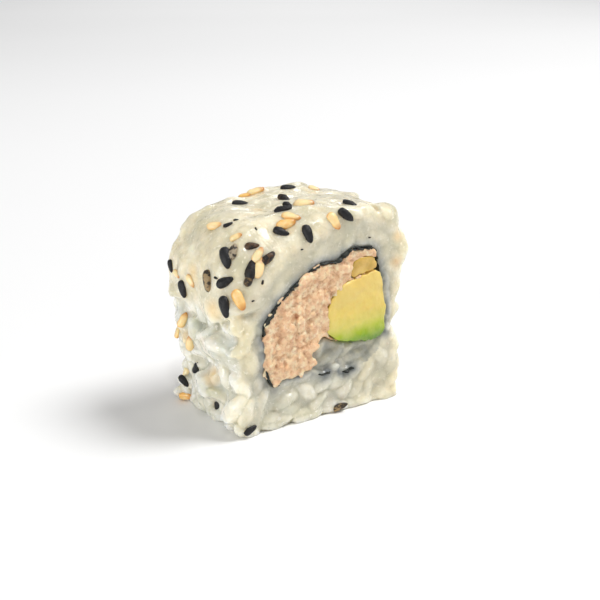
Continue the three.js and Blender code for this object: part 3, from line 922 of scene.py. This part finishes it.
def addSheet(bm, line, shareFrom, shareTo, steps=16):
    along = bm.verts.layers.float["share"]
    row = [bm.verts.new((p.x, -halfLength, p.y)) for p in line]
    for i, v in enumerate(row):
        v[along] = mix(shareFrom, shareTo, i / (len(row) - 1))
    edges = [bm.edges.new(pair) for pair in zip(row, row[1:])]
    for _ in range(steps):
        geom = bmesh.ops.extrude_edge_only(bm, edges=edges)["geom"]
        verts = [g for g in geom if isinstance(g, bmesh.types.BMVert)]
        edges = [g for g in geom if isinstance(g, bmesh.types.BMEdge)]
        edges = [e for e in edges if abs(e.verts[0].co.y - e.verts[1].co.y) < 1e-5]
        bmesh.ops.translate(bm, verts=verts, vec=(0, 2 * halfLength / steps, 0))


def makeNori():
    line = smoothRoute(noriSheet["route"], 0.22)
    shares = [p[0] for p in noriSheet["edge"]]
    edge = [p[1] for p in noriSheet["edge"]]
    bm = bmesh.new()
    bm.verts.layers.float.new("share")
    addSheet(bm, line, 0, 1)
    low, high = (int(share * len(line)) for share in noriSheet["fold"])
    folded = [p + Vector(noriSheet["foldApart"]) for p in line[low:high]]
    addSheet(bm, folded, *noriSheet["fold"])
    along = bm.verts.layers.float["share"]
    furthestIn, furthestOut = noriSheet["edgeRange"]
    for v in bm.verts:
        spot = Vector((v.co.x, 0, v.co.z))
        if abs(v.co.y) > halfLength - 1e-3:
            shift = Vector((0, v.co.y, 0))
            tear = noise.noise(spot / 0.6 + shift) + 0.8 * noise.noise(spot / 2.1 + shift)
            out = float(np.interp(v[along], shares, edge)) + noriSheet["torn"] * tear
            v.co.y += math.copysign(1, v.co.y) * max(furthestIn, min(out, furthestOut))
        wave = v.co / 1.7
        sway = Vector((noise.noise(wave), 0, noise.noise(wave + Vector((9, 0, 0)))))
        v.co += sway * noriSheet["wavy"]
        v.co = drifted(v.co)
    bmesh.ops.solidify(bm, geom=bm.faces[:], thickness=noriSheet["thickness"])
    furthest = halfLength + noriSheet["furthest"]
    for v in bm.verts:
        v.co.y = max(-furthest, min(furthest, v.co.y))
    bmesh.ops.recalc_face_normals(bm, faces=bm.faces)
    return newObject("noriSheet", bm)


noriPiece = makeNori()

# Filling.
tuna = {
    "clear": [            # where there's none: right of the avocado and below it
        ((12.4, 12.0), (18.0, 12.0), (18.0, 31.6), (12.4, 31.6)),
        ((3.6, 16.4), (3.0, 12.0), (17.0, 12.0), (17.0, 16.4)),
    ],
    "gap": 0.25,          # between the mash and the nori
    "proud": 0.15,
    "area": ((-14.5, 12.5), (7.5, 34.5)),
    "chunks": 190,
    "crumbs": 90,
    # Shares of the nori's route where crumbs lie on its edge.
    "crumbly": (0.40, 0.52, 0.55, 0.57, 0.60, 0.64, 0.66, 0.69, 0.72, 0.78, 0.80, 0.83),
    "sizes": (0.3, 0.4, 0.5, 0.6, 0.8, 1.1),
    "waves": [(0.5, 3.2), (0.16, 1.1)],
    "fibre": (1.5, 0.6, 0.36),    # length, depth and width of the flakes
    "fibreRise": 0.13,
    "coarseVoxel": 0.3,
    "voxel": 0.21,
    "limit": 150000,              # triangles
    "seed": 21,
}
avocado = {
    "wedge": [
        (3.7, 26.6), (7.6, 27.9), (13.1, 28.6), (14.6, 25.2), (15.25, 20.4), (15.15, 16.2),
        (13.7, 14.5), (8.2, 14.7), (3.3, 15.9), (1.0, 17.5), (1.2, 20.0), (0.9, 23.0), (2.3, 25.0),
    ],
    "slice": [
        (6.5, 30.6), (8.2, 31.8), (11.6, 32.0), (12.8, 30.6), (12.9, 29.2), (9.6, 28.7),
        (6.9, 28.3),
    ],
    "wedgeProud": 0.4,
    "sliceProud": 0.15,
    "waves": [(0.3, 3.4), (0.12, 1.2)],
    "sideWaves": [(0.5, 1.6), (0.3, 0.6)],
    "voxel": 0.24,
    "foot": 14.6,             # the green starts here, and lies higher at the right
    "footSlope": 0.10,
    "tall": 13.5,
}
wedgeOutline = smoothRoute(avocado["wedge"], 0.6, closed=True)
sliceOutline = smoothRoute(avocado["slice"], 0.5, closed=True)


def tunaBody():
    reach = halfLength + tuna["proud"]
    obj = newObject("tunaMash", slab(grown(cavityOutline, -tuna["gap"]), reach))
    fuse(obj, tuna["coarseVoxel"])
    for outline in (grown(wedgeOutline, 0.1), grown(sliceOutline, 0.1)):
        cutAway(obj, newObject("cutter", slab(outline, reach + 3)))
    for corners in tuna["clear"]:
        cutAway(obj, newObject("cutter", slab([Vector(p) for p in corners], reach + 3)))
    return obj


def layChunks(bm, tree, side):
    reach = halfLength + tuna["proud"]
    walls = [noriLine, wedgeOutline + wedgeOutline[:1], sliceOutline + sliceOutline[:1]]
    placed = 0
    while placed < tuna["chunks"]:
        x, z = (random.uniform(*span) for span in tuna["area"])
        start = Vector((x, side * 30, z))
        hit, _, _, _ = tree.ray_cast(start, Vector((0, -side, 0)))
        if hit is None or abs(hit.y) < reach - 0.5:
            continue
        size = random.choice(tuna["sizes"])
        spot = undrifted(np.array([tuple(hit)]))
        if min(distanceTo(wall, spot)[0] for wall in walls) < size * 0.8:
            continue
        half = (size * random.uniform(1.1, 2.4), size, size * 0.7)
        at = hit - Vector((0, side, 0)) * random.uniform(0.2, 0.65) * size
        turn = laidFlat(tilted(Vector((0, side, 0)), 0.3), randomHeading())
        ball(bm, at, half, turn, 2)
        placed += 1


def layCrumbs(bm, side):
    outer = grown(noriLine, 1)
    for _ in range(tuna["crumbs"]):
        i = int(len(noriLine) * random.choice(tuna["crumbly"]) + random.gauss(0, 2))
        size = random.uniform(0.2, 0.55)
        across = random.uniform(-0.9, 0.1)
        edgeSpot = outer[i] if 0 < i < len(noriLine) - 1 else noriLine[i]
        outward = (edgeSpot - noriLine[i]) * across
        y = side * (halfLength - 0.4)
        at = drifted(Vector((noriLine[i].x + outward.x, y, noriLine[i].y + outward.y)))
        turn = laidFlat(Vector((0, side, 0)), randomHeading())
        ball(bm, at, (size * 1.4, size, size * 0.8), turn, 2)


def layWedgeCrumbs(bm, side):
    for p in wedgeOutline:
        at = drifted(Vector((p.x, side * (halfLength + 0.1), p.y)))
        if p.x < 9 and p.y > 17 and random.random() < 0.8:
            size = random.uniform(0.2, 0.5)
            at += Vector((random.gauss(0, 0.25), 0, random.gauss(0, 0.25)))
            ball(bm, at, (size, size * 0.8, size * 1.3), None, 2)


def flakeSurface(obj):
    points = coordinates(obj.data)
    normals = vertexNormals(obj.data)
    length, depth, width = tuna["fibre"]
    for i, p in enumerate(points):
        co = Vector(p)
        lie = 2.5 * noise.noise(co / 4.5)
        along = co.x * math.cos(lie) + co.z * math.sin(lie)
        across = co.z * math.cos(lie) - co.x * math.sin(lie)
        fibre = noise.noise(Vector((along / length, co.y / depth, across / width)))
        rise = relief(co, tuna["waves"]) + tuna["fibreRise"] * fibre
        points[i] = p + normals[i] * rise
    setCoordinates(obj.data, points)


def makeTuna():
    random.seed(tuna["seed"])
    obj = tunaBody()
    tree = treeOf(obj)
    bm = bmesh.new()
    for side in (-1, 1):
        layChunks(bm, tree, side)
        layCrumbs(bm, side)
        layWedgeCrumbs(bm, side)
    addTo(obj, bm)
    fuse(obj, tuna["voxel"])
    flakeSurface(obj)
    thin(obj, tuna["limit"])
    return obj


# Avocado from cut to cut, smooth at the cuts and ragged along its sides.
def makeFlesh(name, outline, proud):
    obj = newObject(name, slab(outline, halfLength + proud, 8))
    fuse(obj, avocado["voxel"])
    soften(obj, 0.5, 1)
    points = coordinates(obj.data)
    normals = vertexNormals(obj.data)
    for i, p in enumerate(points):
        co = Vector(p)
        onSide = 1 - abs(normals[i][1])
        rise = relief(co, avocado["waves"]) + onSide * relief(co, avocado["sideWaves"])
        points[i] = p + normals[i] * rise
    setCoordinates(obj.data, points)
    return obj


print("stage: filling")
tunaMash = makeTuna()
avocadoWedge = makeFlesh("avocadoWedge", wedgeOutline, avocado["wedgeProud"])
avocadoSlice = makeFlesh("avocadoSlice", sliceOutline, avocado["sliceProud"])


# Materials.
class Finish:
    def __init__(self, name, roughness=0.5):
        self.material = bpy.data.materials.new(name)
        self.material.use_nodes = True
        self.nodes = self.material.node_tree.nodes
        self.links = self.material.node_tree.links
        self.shader = self.nodes["Principled BSDF"]
        self.shader.inputs["Roughness"].default_value = roughness
        self.place = self.nodes.new("ShaderNodeTexCoord").outputs["Object"]

    def noise(self, size, detail=2.0, rough=0.5):
        node = self.nodes.new("ShaderNodeTexNoise")
        node.inputs["Scale"].default_value = 1 / (size * mm)
        node.inputs["Detail"].default_value = detail
        node.inputs["Roughness"].default_value = rough
        self.links.new(self.place, node.inputs["Vector"])
        return node.outputs["Fac"]

    def attribute(self, name):
        node = self.nodes.new("ShaderNodeAttribute")
        node.attribute_name = name
        return node.outputs["Fac"]

    def ramp(self, source, stops):
        node = self.nodes.new("ShaderNodeValToRGB")
        elements = node.color_ramp.elements
        while len(elements) < len(stops):
            elements.new(0.5)
        for element, (at, colour) in zip(elements, stops):
            element.position = at
            element.color = (*colour, 1)
        self.links.new(source, node.inputs["Fac"])
        return node.outputs["Color"]

    def blend(self, factor, a, b, kind="MIX"):
        node = self.nodes.new("ShaderNodeMix")
        node.data_type = "RGBA"
        node.blend_type = kind
        for value, socket in ((factor, node.inputs[0]), (a, node.inputs[6]), (b, node.inputs[7])):
            if isinstance(value, bpy.types.NodeSocket):
                self.links.new(value, socket)
            elif isinstance(value, tuple):
                socket.default_value = (*value, 1)
            else:
                socket.default_value = value
        return node.outputs[2]

    def scaled(self, source, low, high, newLow=0.0, newHigh=1.0):
        node = self.nodes.new("ShaderNodeMapRange")
        for i, value in enumerate((low, high, newLow, newHigh)):
            node.inputs[i + 1].default_value = value
        self.links.new(source, node.inputs[0])
        return node.outputs[0]

    def colour(self, source):
        self.links.new(source, self.shader.inputs["Base Color"])

    def bump(self, layers):
        normal = None
        for source, strength, depth in layers:
            node = self.nodes.new("ShaderNodeBump")
            node.inputs["Strength"].default_value = strength
            node.inputs["Distance"].default_value = depth * mm
            self.links.new(source, node.inputs["Height"])
            if normal is not None:
                self.links.new(normal, node.inputs["Normal"])
            normal = node.outputs["Normal"]
        self.links.new(normal, self.shader.inputs["Normal"])

    def coat(self, weight, roughness):
        self.shader.inputs["Coat Weight"].default_value = weight
        self.shader.inputs["Coat Roughness"].default_value = roughness

    def glow(self, weight, radius, scale=1.0):
        self.shader.inputs["Subsurface Weight"].default_value = weight
        self.shader.inputs["Subsurface Radius"].default_value = radius
        self.shader.inputs["Subsurface Scale"].default_value = scale * mm


def grainColoursAndShade(finish):
    base = finish.ramp(finish.noise(5.0, 3), [
        (0.34, (0.74, 0.72, 0.57)), (0.48, (0.88, 0.84, 0.69)), (0.62, (0.98, 0.95, 0.84)),
    ])
    tone = finish.attribute("tone")
    base = finish.blend(finish.scaled(tone, 0.45, 1, 0, 0.8), base, (1.0, 0.98, 0.91))
    base = finish.blend(finish.scaled(tone, 0, 0.4, 0.5, 0), base, (0.62, 0.64, 0.54))
    # Painted shade: darker olive grey where grains meet and in the hollows between them.
    seam = finish.scaled(finish.attribute("seam"), 0.1, 1, 0, 0.65)
    base = finish.blend(seam, base, (0.52, 0.52, 0.38))
    gap = finish.scaled(finish.attribute("gap"), 0, 1, 0, 0.5)
    base = finish.blend(gap, base, (0.55, 0.55, 0.46))
    # Painted shade in the hollows of the rice.
    base = finish.blend(finish.attribute("creaseShade"), base, (0.66, 0.64, 0.54), "MULTIPLY")
    clear = finish.scaled(finish.noise(1.6, 3), 0.42, 0.62, 0, 0.35)
    base = finish.blend(clear, base, (0.70, 0.69, 0.58))
    loose = finish.scaled(finish.attribute("skin"), 0, 1, 1, 0.35)
    cool = finish.scaled(finish.noise(4.0, 2), 0.5, 0.66, 0, 0.5)
    base = finish.blend(finish.blend(1.0, cool, loose, "MULTIPLY"), base, (0.66, 0.70, 0.66))
    blush = finish.scaled(finish.noise(3.3, 2), 0.54, 0.7, 0, 0.45)
    base = finish.blend(finish.blend(1.0, blush, loose, "MULTIPLY"), base, (0.86, 0.76, 0.66))
    flecks = finish.scaled(finish.noise(0.9, 2), 0.62, 0.68, 0, 0.7)
    return finish.blend(flecks, base, (0.98, 0.97, 0.92))


def riceFinish():
    finish = Finish("cookedRice", 0.3)
    base = grainColoursAndShade(finish)
    skin = finish.scaled(finish.attribute("skin"), 0, 1)
    base = finish.blend(skin, base, (1.0, 0.94, 0.815), "MULTIPLY")
    # Painted shade: the cut faces darker and greyer, away from their outer edge.
    cutShade = finish.scaled(finish.attribute("cut"), 0, 1, 0, 0.3)
    base = finish.blend(cutShade, base, (0.45, 0.46, 0.39))
    stain = finish.scaled(finish.attribute("stain"), 0, 1, 0, 0.8)
    base = finish.blend(stain, base, (0.86, 0.66, 0.36))
    # Painted shade: grey where the nori lies under the translucent rice, and on the recessed tongue.
    patchy = finish.scaled(finish.noise(2.4, 2), 0.35, 0.6, 0.35, 1.0)
    shade = finish.blend(1.0, finish.attribute("paintedNoriShade"), patchy, "MULTIPLY")
    shade = finish.scaled(shade, 0, 1, 0, 0.95)
    finish.colour(finish.blend(shade, base, (0.20, 0.22, 0.225)))

    rough = finish.scaled(finish.noise(1.2, 3), 0.36, 0.62, 0.2, 0.5)
    finish.links.new(rough, finish.shader.inputs["Roughness"])
    finish.glow(1.0, (1.6, 1.5, 1.3), 1.6)
    finish.shader.inputs["IOR"].default_value = 1.42
    finish.coat(0.45, 0.09)
    grainSizes = ((2.6, 0.6), (1.1, 0.3), (0.45, 0.12))
    finish.bump([(finish.noise(size, 2), 0.6, depth) for size, depth in grainSizes])
    return finish.material


def blackSeedFinish():
    finish = Finish("blackSesameHull", 0.45)
    shell = finish.ramp(finish.attribute("toast"), [
        (0.0, (0.009, 0.009, 0.010)), (0.25, (0.02, 0.013, 0.009)), (0.5, (0.085, 0.042, 0.018)),
        (0.75, (0.36, 0.24, 0.10)), (1.0, (0.40, 0.34, 0.25)),
    ])
    patches = finish.scaled(finish.noise(1.1, 3), 0.46, 0.54, 0, 0.9)
    finish.colour(finish.blend(patches, shell, (0.005, 0.005, 0.006)))
    finish.shader.inputs["Specular IOR Level"].default_value = 0.4
    finish.bump([(finish.noise(0.9, 2), 0.9, 0.3), (finish.noise(0.3, 3), 0.9, 0.16)])
    return finish.material


def tanSeedFinish():
    finish = Finish("toastedSesameHull", 0.36)
    body = finish.ramp(finish.attribute("toast"), [
        (0.0, (1.0, 0.80, 0.46)), (0.5, (1.0, 0.70, 0.30)), (1.0, (0.93, 0.48, 0.09)),
    ])
    pale = finish.scaled(finish.noise(1.0, 2), 0.4, 0.7, 0, 0.5)
    paled = finish.blend(pale, body, (0.97, 0.82, 0.50))
    rim = finish.scaled(finish.attribute("rim"), 0.2, 1, 0, 0.55)
    rimmed = finish.blend(rim, paled, (0.80, 0.38, 0.05))
    tip = finish.scaled(finish.attribute("along"), 0.35, 0.95, 0, 0.9)
    finish.colour(finish.blend(tip, rimmed, (0.55, 0.19, 0.02)))
    finish.glow(0.3, (1.0, 0.6, 0.3), 0.5)
    finish.coat(0.3, 0.2)
    finish.bump([(finish.noise(0.5, 2), 0.3, 0.08)])
    return finish.material


def noriFinish():
    finish = Finish("driedSeaweed", 0.55)
    finish.colour(finish.ramp(finish.noise(1.5, 4), [
        (0.35, (0.004, 0.006, 0.004)), (0.6, (0.014, 0.020, 0.013)), (0.75, (0.035, 0.045, 0.03)),
    ]))
    finish.bump([(finish.noise(0.6, 4), 0.6, 0.15)])
    return finish.material


def tunaFinish():
    finish = Finish("tunaMash", 0.45)
    base = finish.ramp(finish.noise(2.2, 4, 0.6), [
        (0.30, (0.80, 0.48, 0.27)), (0.47, (0.91, 0.60, 0.35)), (0.68, (0.98, 0.76, 0.48)),
    ])
    flakes = finish.scaled(finish.noise(0.7, 3, 0.6), 0.52, 0.68, 0, 0.6)
    base = finish.blend(flakes, base, (0.70, 0.38, 0.22))
    pale = finish.scaled(finish.noise(1.1, 3), 0.54, 0.68, 0, 0.7)
    base = finish.blend(pale, base, (1.0, 0.84, 0.58))
    # Painted shade in the tuna's creases.
    finish.colour(finish.blend(finish.attribute("creaseShade"), base, (0.50, 0.27, 0.13), "MULTIPLY"))
    finish.glow(0.3, (1.4, 0.9, 0.5), 0.6)
    finish.coat(0.15, 0.3)
    finish.bump([(finish.noise(0.8, 4, 0.6), 0.8, 0.35), (finish.noise(0.35, 3), 0.6, 0.14)])
    return finish.material


def wedgeFinish():
    finish = Finish("avocadoFlesh", 0.38)
    wavy = finish.blend(0.06, finish.attribute("height"), finish.noise(2.0, 2), "ADD")
    base = finish.ramp(wavy, [
        (0.03, (0.10, 0.27, 0.001)), (0.09, (0.21, 0.39, 0.002)), (0.19, (0.42, 0.52, 0.012)),
        (0.32, (0.72, 0.64, 0.12)), (0.50, (0.84, 0.65, 0.15)), (0.95, (0.86, 0.62, 0.16)),
    ])
    paler = finish.scaled(finish.noise(3.0, 3), 0.4, 0.75, 0, 0.3)
    base = finish.blend(paler, base, (0.92, 0.77, 0.30))
    warm = finish.scaled(finish.noise(1.3, 3), 0.5, 0.7, 0, 0.3)
    warm = finish.blend(1.0, warm, finish.scaled(finish.attribute("height"), 0.2, 0.45), "MULTIPLY")
    finish.colour(finish.blend(finish.scaled(warm, 0, 1), base, (0.86, 0.54, 0.12)))
    finish.glow(0.3, (1.3, 1.1, 0.4), 0.5)
    finish.coat(0.15, 0.25)
    finish.bump([(finish.noise(1.6, 3), 0.7, 0.4), (finish.noise(0.5, 3), 0.5, 0.12)])
    return finish.material


def sliceFinish():
    finish = Finish("riperAvocado", 0.36)
    finish.colour(finish.ramp(finish.noise(2.5, 3), [
        (0.35, (0.56, 0.35, 0.05)), (0.55, (0.73, 0.47, 0.10)), (0.7, (0.82, 0.58, 0.17)),
    ]))
    finish.glow(0.35, (1.4, 1.0, 0.4), 0.8)
    finish.coat(0.2, 0.2)
    finish.bump([(finish.noise(1.2, 3), 0.25, 0.15)])
    return finish.material


# Scales a piece to metres, gives it its material, hangs it under the root and hides the model's parts
# of the nodes it stands in for.
def finishPiece(obj, material, slot, *nodes):
    mesh = obj.data
    mesh.transform(Matrix.Scale(mm, 4))
    mesh.polygons.foreach_set("use_smooth", [True] * len(mesh.polygons))
    mesh.materials.clear()
    mesh.materials.append(material)
    mesh.validate()
    mesh.update()
    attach(obj, "root")
    if nodes:
        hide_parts(*nodes)


# Painted shade: the grey that the nori, seen through the translucent rice, gives the rice near it, and
# the shade in the tongue's recess.
riceShade = {
    "start": 0.3,
    "reach": 2.4,
    "fade": 1.3,
    "top": 32.5,          # above this it is paler
    "topPaler": 0.7,
    "tongue": 0.6,        # the least of it on the tongue
    "calmTone": 0.42,     # the tone that pressed grains draw near
}

print("stage: materials")
points = coordinates(riceMass.data)
toNori = distanceTo(noriLine, undrifted(points))
# Painted shade mask: nearness to the nori, paler over the top, and at least the tongue's share in its
# recess.
near = np.clip(1 - (toNori - riceShade["start"]) / riceShade["reach"], 0, 1)**riceShade["fade"]
overTop = np.clip((points[:, 2] - riceShade["top"]) / 2, 0, 1)
near *= 1 - riceShade["topPaler"] * overTop
inTongue = insideOutline(undrifted(points), tongueOutline)
setAttribute(riceMass.data, "paintedNoriShade", np.where(inTongue, np.maximum(near, riceShade["tongue"]), near))
room = np.array([faceRoom(x, z, y) for x, y, z in points])
atCut = np.clip((np.abs(points[:, 1]) - halfLength + 2.2) / 1.4, 0, 1)
# Mask for the painted shade of the cut faces: near a cut and away from its outer edge.
setAttribute(riceMass.data, "cut", atCut * np.clip((room - 0.6) / 2.4, 0, 1))
tone, seam, gap = grainPattern(points)
setAttribute(riceMass.data, "tone", mix(tone, riceShade["calmTone"], 0.7 * pressed(points)))
setAttribute(riceMass.data, "skin", np.clip(pressed(points) * 1.3 + 0.35 * atCut, 0, 1))
stain = np.zeros(len(points))
for px, py, radius in sesame["stains"]:
    hit = riceTree.ray_cast(eye, sight(px, py))[0]
    if hit is not None:
        stain = np.maximum(stain, np.clip(1.2 - np.linalg.norm(points - hit, axis=1) / radius, 0, 1))
setAttribute(riceMass.data, "stain", stain)
# Painted shade masks: the seams between grains, weaker on the pressed skin, and the hollows between
# grains.
setAttribute(riceMass.data, "seam", seam * (1 - 0.9 * pressed(points)))
setAttribute(riceMass.data, "gap", gap)
# Painted shade masks: how deep each point of the rice and the tuna lies in a hollow.
setAttribute(riceMass.data, "creaseShade", np.clip(hollowness(riceMass.data, 6, 0.22), 0, 1))
setAttribute(tunaMash.data, "creaseShade", np.clip(hollowness(tunaMash.data, 5, 0.25), 0, 1))
wedgeSection = undrifted(coordinates(avocadoWedge.data))
slope = avocado["footSlope"] * (wedgeSection[:, 0] - 8)
height = (wedgeSection[:, 1] - avocado["foot"] - slope) / avocado["tall"]
setAttribute(avocadoWedge.data, "height", height)

finishPiece(riceMass, riceFinish(), "rice", "rice")
finishPiece(blackSesame, blackSeedFinish(), "sesame_black")
finishPiece(tanSesame, tanSeedFinish(), "sesame_tan")
finishPiece(noriPiece, noriFinish(), "nori", "nori")
finishPiece(tunaMash, tunaFinish(), "tuna", "tuna")
finishPiece(avocadoWedge, wedgeFinish(), "avocado", "avocado")
finishPiece(avocadoSlice, sliceFinish(), "avocado_slice", "avocado_slice")

# Floor and light.
studio = {
    "world": 0.325,
    "lift": 0.02,         # metres, as the lights turn to the roll's middle
    "floorHalf": 6,
    # Each light: its place right, towards the camera and up in metres, its size and power, and how
    # far towards the camera the spot on the floor lies that it is turned to.
    "lights": [
        ("key", (1.0, -0.2, 1.5), 0.8, 26.5, 0.0),
        ("glint", (0.1, 0.7, 1.1), 0.08, 1.7, 0.0),
        ("fill", (-0.85, 0.75, 0.15), 0.4, 5.5, 0.0),
        ("farFloor", (0.0, -1.8, 1.0), 0.5, 4.4, -1.8),
    ],
}


def makeFloor():
    bm = bmesh.new()
    bmesh.ops.create_grid(bm, x_segments=1, y_segments=1, size=studio["floorHalf"])
    floor = newObject("floor", bm)
    finish = Finish("paleFloor", 0.7)
    paleWhites = [(0.3, (0.93, 0.93, 0.93)), (0.7, (0.95, 0.95, 0.95))]
    finish.colour(finish.ramp(finish.noise(400, 1), paleWhites))
    floor.data.materials.append(finish.material)


def makeLight(name, offset, size, power, aim):
    data = bpy.data.lights.new(name, "AREA")
    data.shape = "DISK"
    data.size = size
    data.energy = power
    light = bpy.data.objects.new(name, data)
    forward = Vector((viewBack.x, viewBack.y, 0)).normalized()
    spot = viewRight * offset[0] + forward * offset[1] + Vector((0, 0, offset[2]))
    light.location = spot + Vector((0, 0, studio["lift"]))
    light.rotation_euler = (spot - forward * aim).to_track_quat("Z", "Y").to_euler()
    bpy.context.collection.objects.link(light)


print("stage: light")
makeFloor()
world = bpy.data.worlds.new("studio")
world.use_nodes = True
world.node_tree.nodes["Background"].inputs["Color"].default_value = (1, 1, 1, 1)
world.node_tree.nodes["Background"].inputs["Strength"].default_value = studio["world"]
bpy.context.scene.world = world
for light in studio["lights"]:
    makeLight(*light)
bpy.context.scene.view_settings.view_transform = "Standard"
